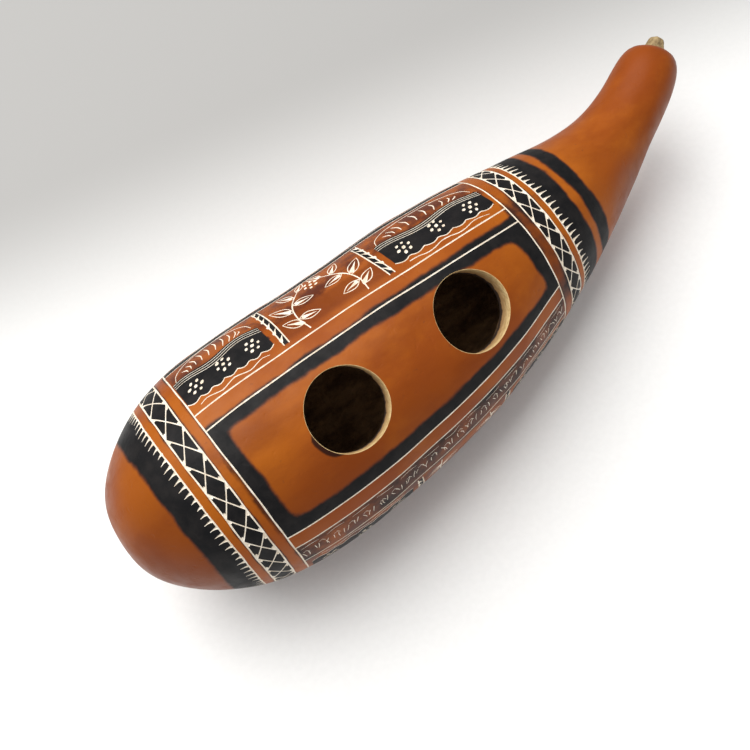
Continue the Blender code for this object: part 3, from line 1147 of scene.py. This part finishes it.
def stain_and_shade_value(station, angle):
    """How brown the skin is, from 0 to 1: real stains, and painted shade where the skin turns away from the
    light.
    """
    degrees = np.degrees(angle)
    fat, neck = from_rings(station, angle)
    friezes = np.zeros(len(station))
    for turned, base, grows in FRIEZES:
        height = grows * (degrees - base_degrees(base, station))
        middle = window(station, 97, 148, 3, 4) if turned else window(station, 86, 137, 4, 3)
        art = smooth_step((height - 15) / 8) + 0.75 * middle * smooth_step((height - 1.5) / 4)
        friezes = np.maximum(friezes, np.where((height > 0) & (height < 45), np.minimum(art, 1.0), 0))
    row = window(degrees, 70.5, 104, 2, 14)
    # Painted shade: the finger-hole panel darkens towards its lower edge and the fat end, where the skin
    # turns from the light.
    panel_shade = window(degrees, 22, 60, 30, 2) * smooth_step((135 - station) / 40)
    body = np.maximum.reduce((friezes, row, 0.4 * panel_shade))
    body = body * np.clip(np.minimum(fat - FAT_LINE, NECK_LINE - neck) / 0.5, 0, 1)
    strip = window(neck, NECK_LINE, NECK_LATTICE[0], 1.5, 1.5) * window(degrees, 6, 75, 8, 10)
    # Painted shade: the fat end's cap is browned all round, and darker still on its -Y side, which is turned
    # away from the window light.
    shaded_side = smooth_step((np.sin(angle) * skin_radius(station) + 4) / 22)
    cap = smooth_step((FAT_SCORCH + 8 - fat) / 8) * (0.3 + 0.38 * shaded_side)
    # Painted shade: the neck beyond its last ring darkens on its -Y side and underside, away from the window
    # light.
    neck_shade = smooth_step((neck - NECK_RING[1]) / 12) * window(degrees, 30, 160, 45, 30)
    return np.maximum.reduce((body, 0.75 * strip, cap, 0.45 * neck_shade))


# ---------------------------------------------------------------- materials

class Nodes:
    """Short hand for building a material's node tree."""

    def __init__(self, name):
        self.material = bpy.data.materials.new(name)
        self.material.use_nodes = True
        self.tree = self.material.node_tree
        self.shader = self.tree.nodes["Principled BSDF"]
        self.place = self.add("ShaderNodeTexCoord").outputs["Object"]

    def add(self, kind, **settings):
        """New node with its settings."""
        node = self.tree.nodes.new(kind)
        for key, value in settings.items():
            setattr(node, key, value)
        return node

    def put(self, socket, value):
        """Connect a socket, or give it a constant."""
        if isinstance(value, bpy.types.NodeSocket):
            self.tree.links.new(value, socket)
        elif isinstance(value, tuple) and len(value) == 3 and socket.type == "RGBA":
            socket.default_value = (*value, 1)
        else:
            socket.default_value = value

    def noise(self, scale, detail=4.0, roughness=0.6, stretch=(1, 1, 1)):
        """Noise texture value, in cycles per metre."""
        mapping = self.add("ShaderNodeMapping")
        self.put(mapping.inputs["Vector"], self.place)
        mapping.inputs["Scale"].default_value = stretch
        node = self.add("ShaderNodeTexNoise")
        self.put(node.inputs["Vector"], mapping.outputs["Vector"])
        for key, value in (("Scale", scale), ("Detail", detail), ("Roughness", roughness)):
            node.inputs[key].default_value = value
        return node.outputs["Fac"]

    def math(self, operation, first, second=0.0, third=0.0):
        """Math node."""
        node = self.add("ShaderNodeMath", operation=operation)
        for socket, value in zip(node.inputs, (first, second, third)):
            self.put(socket, value)
        return node.outputs["Value"]

    def spread(self, value, low, high, to_low=0.0, to_high=1.0):
        """Map a range on to another, clamped."""
        node = self.add("ShaderNodeMapRange", interpolation_type="SMOOTHSTEP")
        for socket, item in zip(node.inputs, (value, low, high, to_low, to_high)):
            self.put(socket, item)
        return node.outputs["Result"]

    def mix(self, share, first, second):
        """Mix two colours."""
        node = self.add("ShaderNodeMix", data_type="RGBA")
        colours = {socket.name: socket for socket in node.inputs if socket.type == "RGBA"}
        self.put(node.inputs["Factor"], share)
        self.put(colours["A"], first)
        self.put(colours["B"], second)
        return next(socket for socket in node.outputs if socket.type == "RGBA")

    def blend(self, value, low, high, first, second, most=1.0):
        """Mix two colours by how far a value lies from low to high."""
        return self.mix(self.spread(value, low, high, 0.0, most), first, second)

    def attribute(self, name):
        """Number stored on the vertices."""
        return self.add("ShaderNodeAttribute", attribute_name=name).outputs["Fac"]

    def bump(self, height, distance, strength=1.0, under=None):
        """Normal from a height, over an earlier one."""
        node = self.add("ShaderNodeBump")
        self.put(node.inputs["Height"], height)
        node.inputs["Distance"].default_value = distance
        node.inputs["Strength"].default_value = strength
        if under is not None:
            self.put(node.inputs["Normal"], under)
        return node.outputs["Normal"]

    def finish(self, **inputs):
        """Set the shader's inputs and return the material."""
        for key, value in inputs.items():
            self.put(self.shader.inputs[key.replace("_", " ")], value)
        return self.material


def skin_material():
    """Oiled gourd skin: clouded orange, browned by stains and by painted shade, singed by slip, scorched by
    burn.
    """
    n = Nodes("oiled_gourd_skin")
    base = n.blend(n.noise(14, 3, 0.5, (0.6, 1, 1)), 0.32, 0.66, (0.275, 0.055, 0.004), (0.39, 0.10, 0.005))
    base = n.blend(n.noise(38, 4, 0.6, (0.8, 1, 1)), 0.46, 0.7, base, (0.46, 0.125, 0.008), 0.55)
    base = n.blend(n.noise(60, 5, 0.6, (0.35, 1, 1)), 0.42, 0.75, base, (0.18, 0.032, 0.002), 0.55)
    base = n.blend(n.noise(420, 3), 0.66, 0.8, base, (0.16, 0.045, 0.012), 0.5)
    brown = n.blend(n.noise(75, 4, 0.65), 0.36, 0.62, (0.10, 0.019, 0.005), (0.33, 0.08, 0.009))
    # The brown value holds real stains and painted shade together; both are mixed in here as browns.
    stain_and_shade = n.attribute("stain_and_shade")
    base = n.mix(stain_and_shade, base, n.blend(stain_and_shade, 0.7, 0.95, (0.16, 0.03, 0.003), brown))
    ragged = n.math("SUBTRACT", n.noise(260), 0.5)
    broad = n.math("SUBTRACT", n.noise(70, 2, 0.5), 0.5)
    edge = n.math("MULTIPLY_ADD", broad, 3.2, n.math("MULTIPLY_ADD", ragged, 1.3, n.attribute("burn")))
    slip = n.math("MULTIPLY_ADD", ragged, 0.8, n.attribute("slip"))
    base = n.blend(slip, 0.0, 0.9, base, (0.014, 0.003, 0.002), 0.93)
    colour = n.blend(edge, -1.2, 0.2, base, (0.10, 0.026, 0.010))
    black = n.spread(edge, -0.55, 0.65)
    char = n.blend(n.noise(180), 0.3, 0.75, (0.004, 0.004, 0.005), (0.014, 0.012, 0.012))
    colour = n.mix(black, colour, char)
    rough = n.math("MULTIPLY_ADD", black, 0.14, n.spread(n.noise(150), 0.3, 0.7, 0.34, 0.5))
    fine = n.bump(n.noise(900), 0.00012, 0.35)
    pores = n.bump(n.spread(n.noise(300, 2, 0.5), 0.62, 0.75), -0.0002, 0.3, fine)
    wide = n.bump(n.noise(45, 3, 0.5, (0.5, 1, 1)), 0.0012, 0.25, pores)
    return n.finish(
        Base_Color=colour, Roughness=rough, Normal=wide,
        Specular_IOR_Level=0.15, Coat_Weight=0.03, Coat_Roughness=0.3)


def dull_wood(name, grain, dark, light, relief, roughness, spots=None):
    """Wood without gloss: the noise of its grain, its two colours, the noise and size of its bumps."""
    n = Nodes(name)
    colour = n.blend(n.noise(*grain), 0.3, 0.7, dark, light)
    if spots:
        colour = n.blend(n.noise(90, 3), 0.62, 0.85, colour, spots, 0.45)
    noise_settings, distance, strength = relief
    bump = n.bump(n.noise(*noise_settings), distance, strength)
    return n.finish(Base_Color=colour, Roughness=roughness, Normal=bump)


def carved_material():
    """Pale shell wood laid bare by the engraving tool."""
    return dull_wood(
        "carved_shell_wood", (500,), (0.78, 0.67, 0.53), (0.95, 0.89, 0.79),
        ((1600, 3), 0.00015, 0.6), 0.82, spots=(0.45, 0.27, 0.15))


def notch_material():
    """Filed shell wood in the rasp, browned by use."""
    return dull_wood(
        "filed_shell_wood", (300, 4, 0.6, (6, 1, 1)), (0.45, 0.27, 0.12), (0.72, 0.53, 0.32),
        ((900, 3, 0.6, (6, 1, 1)), 0.0002, 0.7), 0.75)


def pulp_material():
    """Dark dried pulp."""
    return dull_wood(
        "dried_pulp", (120, 6, 0.65, (0.5, 1, 1)), (0.10, 0.05, 0.02), (0.36, 0.20, 0.09),
        ((260, 5, 0.7), 0.0012, 0.9), 0.92)


def stalk_material():
    """Dry, pale stalk wood with lengthwise grooves."""
    grooves = (900, 5, 0.65, (0.3, 0.45, 1))
    return dull_wood(
        "dry_stalk", grooves, (0.16, 0.10, 0.04), (0.44, 0.32, 0.16), (grooves, 0.0004, 0.8), 0.8)


def rim_material():
    """Sawn wall of the finger holes: fibrous, pale outside and browner inside."""
    n = Nodes("sawn_shell_wall")
    deep = n.attribute("sunk")
    fibre = n.noise(420, 5, 0.65, (1, 1, 2.2))
    colour = n.blend(fibre, 0.3, 0.7, (0.52, 0.33, 0.13), (0.78, 0.57, 0.28))
    colour = n.blend(deep, 1.0, 6.5, colour, (0.36, 0.20, 0.08))
    torn = n.math("MULTIPLY_ADD", n.noise(330, 4, 0.7), 2.6, deep)
    colour = n.blend(torn, 7.6, 8.0, colour, (0.035, 0.016, 0.007))
    return n.finish(Base_Color=colour, Roughness=0.85, Normal=n.bump(fibre, 0.0006, 0.8))


def floor_material():
    """White seamless paper, with painted shade greying it towards the back."""
    n = Nodes("white_paper")
    colour = n.blend(n.noise(400, 3, 0.5), 0.3, 0.7, (0.89, 0.89, 0.89), (0.91, 0.91, 0.91))
    turned = n.add("ShaderNodeVectorRotate", rotation_type="Z_AXIS")
    n.put(turned.inputs["Vector"], n.place)
    turned.inputs["Angle"].default_value = -BACKDROP_HEADING
    split = n.add("ShaderNodeSeparateXYZ")
    n.put(split.inputs["Vector"], turned.outputs["Vector"])
    # Painted shade: the paper turns grey towards the back, standing in for light that falls off there.
    colour = n.blend(split.outputs["X"], *BACKDROP_SHADE, colour, (0.39, 0.385, 0.38))
    bump = n.bump(n.noise(1500, 3, 0.5), 0.00005, 0.4)
    return n.finish(Base_Color=colour, Roughness=0.7, Normal=bump)


# ---------------------------------------------------------------- pieces

def tip_rings(rows, angle):
    """Rings of points square to the neck's tip, from (distance past it, reach) rows."""
    tip, direction, up, side = (part[0] for part in spine_frames(SPINE_LENGTH))
    turned = up * np.cos(angle)[:, None] + side * np.sin(angle)[:, None]
    return [tip + direction * past + turned * reach for past, reach in rows]


def carry_to_end(builder, ring, rest):
    """Carry an end ring of the engraved sheet on along the rest of the profile; returns the last ring."""
    angle = SEAM + TURN * np.arange(AROUND) / AROUND
    place = np.concatenate(((0,), np.cumsum(np.hypot(*np.diff(rest, axis=0).T))))
    for travelled in np.linspace(0, place[-1], round(place[-1] / END_STEP) + 1)[1:]:
        station = np.full(AROUND, np.interp(travelled, place, rest[:, 0]))
        reach = np.interp(travelled, place, rest[:, 1])
        if reach < 0.4:
            centre = round_spine(station[:1], angle[:1], 0.0)
            builder.join(ring, builder.add_points(centre, station[:1], angle[:1]))
            break
        points = round_spine(station, angle, reach + lumps(station, angle))
        following = builder.add_points(points, station, angle)
        builder.join(ring, following)
        ring = following
    return ring


def make_socket(builder, ring):
    """The stalk's seat in the neck's tip and the socket under it."""
    angle = SEAM + TURN * np.arange(AROUND) / AROUND
    socket = SPIGOT_RADIUS + GAP
    deep = -SEAT_DEPTH - SPIGOT_LENGTH
    rows = (
        (0.5 - SEAT_DEPTH, SEAT_RADIUS + 0.05), (-SEAT_DEPTH, SEAT_RADIUS - 0.3),
        (-SEAT_DEPTH - 0.1, socket + 0.5), (-SEAT_DEPTH - 0.5, socket), (deep, socket), (deep, 0.5),
    )
    builder.loft(ring, [*tip_rings(rows, angle), tip_rings(((deep, 0.0),), angle[:1])[0]], SAWN)


def make_hole_wall(builder, hole, rim, bottom, bottom_ring):
    """Sawn wall of a finger hole, a little rough, from the skin down to the cavity."""
    _, axis, _, _ = hole_axes(hole)
    mouth, lip = (
        on_skin(*hole_loop(hole, FINGER_HOLE_RADIUS + ease, on_skin).T) for ease in (0.0, RIM_EASE * 0.3))
    inward = mouth.mean(axis=0) - mouth
    inward /= np.linalg.norm(inward, axis=1)[:, None]
    rings = [lip - axis * 0.06, mouth - axis * RIM_EASE]
    for share in np.linspace(0.14, 0.92, 9):
        ring = mouth * (1 - share) + bottom * share
        rough = np.array([noise.fractal(Vector(point) * 0.7, 1.0, 2.0, 3) for point in ring])
        rings.append(ring + inward * (rough * 0.28 * (0.5 + share))[:, None])
    builder.join(builder.loft(rim, rings, SAWN), bottom_ring, SAWN)


def make_skin():
    """The gourd's shell: engraved skin, sawn finger holes, cavity wall and the stalk's socket."""
    builder = Builder()
    skin_loops = [hole_loop(hole, FINGER_HOLE_RADIUS + RIM_EASE, on_skin) for hole in FINGER_HOLES]
    sheet = Sheet(ENGRAVED_FROM, ENGRAVED_TO, GRID_STEP, AROUND, skin_loops, STROKES)
    radius = skin_radius(sheet.stations) + lumps(sheet.stations, sheet.angles) - sheet.depths
    builder.add_sheet(sheet, round_spine(sheet.stations, sheet.angles, radius), outside=True)
    stations, radii = FINE_PROFILE.T
    carry_to_end(builder, sheet.first_ring, FINE_PROFILE[stations < ENGRAVED_FROM][::-1])
    to_seat = (stations > ENGRAVED_TO) & (radii >= SEAT_RADIUS + 0.35)
    make_socket(builder, carry_to_end(builder, sheet.last_ring, FINE_PROFILE[to_seat]))

    cavity = on_cavity(0.0)
    cavity_loops = [hole_loop(hole, FINGER_HOLE_RADIUS, cavity) for hole in FINGER_HOLES]
    inner = Sheet(*CAVITY_SHEET, 4.0, 64, cavity_loops)
    inner.kinds[:] = PULP
    inner_start = builder.add_sheet(inner, cavity(inner.stations, inner.angles))
    close_ends(builder, inner, inner_start, 0.0, PULP)
    for hole, rim, loop, inner_ring in zip(FINGER_HOLES, sheet.holes, cavity_loops, inner.holes):
        make_hole_wall(builder, hole, rim, cavity(*loop.T), [index + inner_start for index in inner_ring])
    return builder.mesh("gourd_skin"), builder


def close_ends(builder, sheet, start, inset, slot):
    """Carry a cavity sheet on to its two poles."""
    around = len(sheet.first_ring)
    angle = SEAM + TURN * np.arange(around) / around
    for ring, first, last in (
        (sheet.first_ring, sheet.stations.min(), WALL + inset),
        (sheet.last_ring, sheet.stations.max(), CAVITY_END - inset),
    ):
        rings = []
        for station in last + (first - last) * (1 - np.sin(np.linspace(0, math.pi / 2, 12)[1:-1])):
            reach = max(cavity_radius(station), inset + 1) - inset
            rings.append(round_spine(np.full(around, station), angle, np.full(around, reach)))
        rings.append([round_spine(np.array([last]), 0.0, 0.0)[0]])
        builder.loft([index + start for index in ring], rings, slot)


def store(mesh, name, values):
    """Store one number on each vertex."""
    layer = mesh.attributes.new(name, "FLOAT", "POINT")
    layer.data.foreach_set("value", np.asarray(values, dtype=np.float32))


def sunk_value(points):
    """How deep points of the finger holes' walls lie below the skin."""
    sunk = np.zeros(len(points))
    for hole in FINGER_HOLES:
        middle, axis, along, across = hole_axes(hole)
        offset = points - middle
        near = np.hypot(offset @ along, offset @ across) < FINGER_HOLE_RADIUS + 3
        rim = -(offset @ axis) - (offset @ across) ** 2 / 90
        sunk = np.where(near, np.maximum(rim, 0), sunk)
    return sunk


def set_normals(mesh, slots, exact, use):
    """Exact normals on the skin's used vertices, flat ones in the cuts, and Blender's own elsewhere."""
    loop_vertex = np.zeros(len(mesh.loops), dtype=int)
    mesh.loops.foreach_get("vertex_index", loop_vertex)
    counts = np.zeros(len(mesh.polygons), dtype=int)
    mesh.polygons.foreach_get("loop_total", counts)
    slots = np.repeat(np.array(slots), counts)
    flat = np.zeros(len(mesh.polygons) * 3)
    mesh.polygons.foreach_get("normal", flat)
    face_normals = np.repeat(flat.reshape(-1, 3), counts, axis=0)
    normals = np.zeros((len(loop_vertex), 3))
    smooth = (slots == SKIN) & use[loop_vertex]
    normals[smooth] = exact[loop_vertex[smooth]]
    carved = (slots == CARVED) | (slots == NOTCH)
    normals[carved] = face_normals[carved]
    mesh.normals_split_custom_set([tuple(normal) for normal in normals])


def dress_skin(mesh, builder):
    """Vertex values and exact normals of the skin."""
    places = np.array(builder.places, dtype=float)
    known = ~np.isnan(places[:, 0])
    station = np.where(known, places[:, 0], 100.0)
    angle = np.where(known, places[:, 1], 0.0)
    for name, value, elsewhere in (
        ("burn", burn_value, -9), ("stain_and_shade", stain_and_shade_value, 0), ("slip", slip_value, -9),
    ):
        store(mesh, name, np.where(known, value(station, angle), elsewhere))
    points = np.array(builder.points)
    store(mesh, "sunk", sunk_value(points))
    exact = skin_normals(station, angle)
    above_floor = points[:, 2] + SHIFT[2]
    exact[above_floor <= 0.002] = (0, 0, -1)
    set_normals(mesh, builder.slots, exact, known & (station > 8) & (station < 290))


def make_lining():
    """Dried pulp on the cavity wall, fibrous on its open side."""
    builder = Builder()
    outer_surface = on_cavity(GAP)
    inner_surface = on_cavity(GAP + LINING_THICKNESS)
    loops = [hole_loop(hole, LINING_HOLE_RADIUS, outer_surface) for hole in FINGER_HOLES]
    sheet = Sheet(*CAVITY_SHEET, 2.6, 96, loops)
    outer_start = builder.add_sheet(sheet, outer_surface(sheet.stations, sheet.angles))
    close_ends(builder, sheet, outer_start, GAP, 0)
    points = inner_surface(sheet.stations, sheet.angles)
    centre, _, _, _ = spine_frames(sheet.stations)
    inward = centre - points
    inward /= np.linalg.norm(inward, axis=1)[:, None]
    rough = np.array([noise.fractal(Vector(point) * 0.12, 0.8, 2.1, 4) for point in points])
    inner_start = builder.add_sheet(sheet, points + inward * np.clip(rough * 0.8 + 0.4, 0, 1.4)[:, None])
    close_ends(builder, sheet, inner_start, GAP + LINING_THICKNESS, 0)
    for hole in sheet.holes:
        builder.join([index + outer_start for index in hole], [index + inner_start for index in hole])
    return builder.mesh("pulp_lining")


def make_stalk():
    """Dried stalk: spigot, collar and a ridged, pitted stub with a torn top."""
    builder = Builder()
    sides = 60
    tip, direction, up, side = (part[0] for part in spine_frames(SPINE_LENGTH))
    seat = tip - direction * (SEAT_DEPTH - GAP)
    angle = TURN * np.arange(sides) / sides
    turned = up * np.cos(angle)[:, None] + side * np.sin(angle)[:, None]
    radii, heights = np.array(STUB_PROFILE, dtype=float).T
    rows = [(SPIGOT_RADIUS, -SPIGOT_LENGTH), (SPIGOT_RADIUS, -0.2), (SPIGOT_RADIUS, 0.0)]
    rows += [(float(np.interp(h, heights, radii)), h) for h in np.linspace(0, heights[-1], 22)]
    rings = []
    for radius, height in rows:
        ridged = 0.06 if height > 0 else 0.0
        reach = radius * (1 + ridged * np.cos(STUB_RIDGES * angle))
        ring = seat + direction * height + turned * reach[:, None]
        if height > 0:
            rough = np.array([noise.noise(Vector(point) * 1.6) for point in ring])
            ring = ring + turned * (rough * 0.14)[:, None]
        rings.append(ring)
    top = rings[-1]
    middle = seat + direction * heights[-1]
    rings.append(top * 0.55 + middle * 0.45 - direction * 0.25)
    rings.append(top * 0.2 + middle * 0.8 - direction * 0.75)
    rings.append([middle - direction * 0.8])
    bottom = builder.add_points([seat - direction * SPIGOT_LENGTH])
    first = builder.add_points(rings[0])
    builder.join(first, bottom)
    builder.loft(first, rings[1:])
    return builder.mesh("stalk")


def make_floor():
    """Large floor under the gourd, just clear of its ground spot."""
    mesh = bpy.data.meshes.new("paper_floor")
    size = 3.0
    corners = [(x * size, y * size, -0.2 * MM) for x, y in ((-1, -1), (1, -1), (1, 1), (-1, 1))]
    mesh.from_pydata(corners, [], [(0, 1, 2, 3)])
    return link_piece("paper_floor", mesh, [floor_material()])


def make_camera():
    """Camera above the near side of the gourd, rolled a little."""
    camera = bpy.data.cameras.new("camera")
    camera.lens = CAMERA_LENS
    camera.sensor_width = 36.0
    camera.clip_start = 0.01
    item = bpy.data.objects.new("camera", camera)
    bpy.context.scene.collection.objects.link(item)
    yaw, pitch, roll = (math.radians(value) for value in (CAMERA_YAW, CAMERA_PITCH, CAMERA_ROLL))
    forward = Vector((math.cos(pitch) * math.cos(yaw), math.cos(pitch) * math.sin(yaw), -math.sin(pitch)))
    level = Vector((math.sin(yaw), -math.cos(yaw), 0))
    above = level.cross(forward)
    right = level * math.cos(roll) + above * math.sin(roll)
    upward = above * math.cos(roll) - level * math.sin(roll)
    turn = Matrix((right, upward, -forward)).transposed().to_4x4()
    item.matrix_world = Matrix.Translation(CAMERA_PLACE) @ turn
    bpy.context.scene.camera = item


def light_room():
    """Soft light from all round, stronger from above."""
    world = bpy.data.worlds.new("room")
    bpy.context.scene.world = world
    world.use_nodes = True
    tree = world.node_tree
    background = tree.nodes["Background"]
    background.inputs["Color"].default_value = (1.0, 1.0, 1.0, 1)
    split = tree.nodes.new("ShaderNodeSeparateXYZ")
    tree.links.new(tree.nodes.new("ShaderNodeTexCoord").outputs["Generated"], split.inputs["Vector"])
    rise = tree.nodes.new("ShaderNodeMapRange")
    tree.links.new(split.outputs["Z"], rise.inputs["Value"])
    rise.inputs["To Min"].default_value, rise.inputs["To Max"].default_value = ROOM_STRENGTH
    tree.links.new(rise.outputs["Result"], background.inputs["Strength"])
    bpy.context.scene.view_settings.view_transform = "Standard"


def hang_window():
    """One broad window of light behind the gourd and above it."""
    light = bpy.data.lights.new("window", "AREA")
    light.size = WINDOW_SIZE
    light.energy = WINDOW_POWER
    light.color = WINDOW_COLOUR
    item = bpy.data.objects.new("window", light)
    bpy.context.scene.collection.objects.link(item)
    aim = (WINDOW_TARGET - WINDOW_PLACE).to_track_quat("-Z", "Y")
    item.matrix_world = Matrix.Translation(WINDOW_PLACE) @ aim.to_matrix().to_4x4()


def main():
    """Build every piece, hand it to the frame, and set the stage."""
    build_strokes()
    skin_mesh, skin_builder = make_skin()
    materials = [skin_material(), carved_material(), notch_material(), rim_material(), pulp_material()]
    skin = link_piece("gourd_skin", skin_mesh, materials)
    dress_skin(skin_mesh, skin_builder)
    lining = link_piece("dried_lining", make_lining(), [pulp_material()])
    stalk = link_piece("dry_stalk", make_stalk(), [stalk_material()])
    for piece, node, slot in (
        (skin, "gourd_shell", "skin"), (lining, "pulp_lining", "pulp"), (stalk, "stem_stub", "stalk"),
    ):
        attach(piece, "root")
        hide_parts(node)
    make_floor()
    make_camera()
    light_room()
    hang_window()


main()
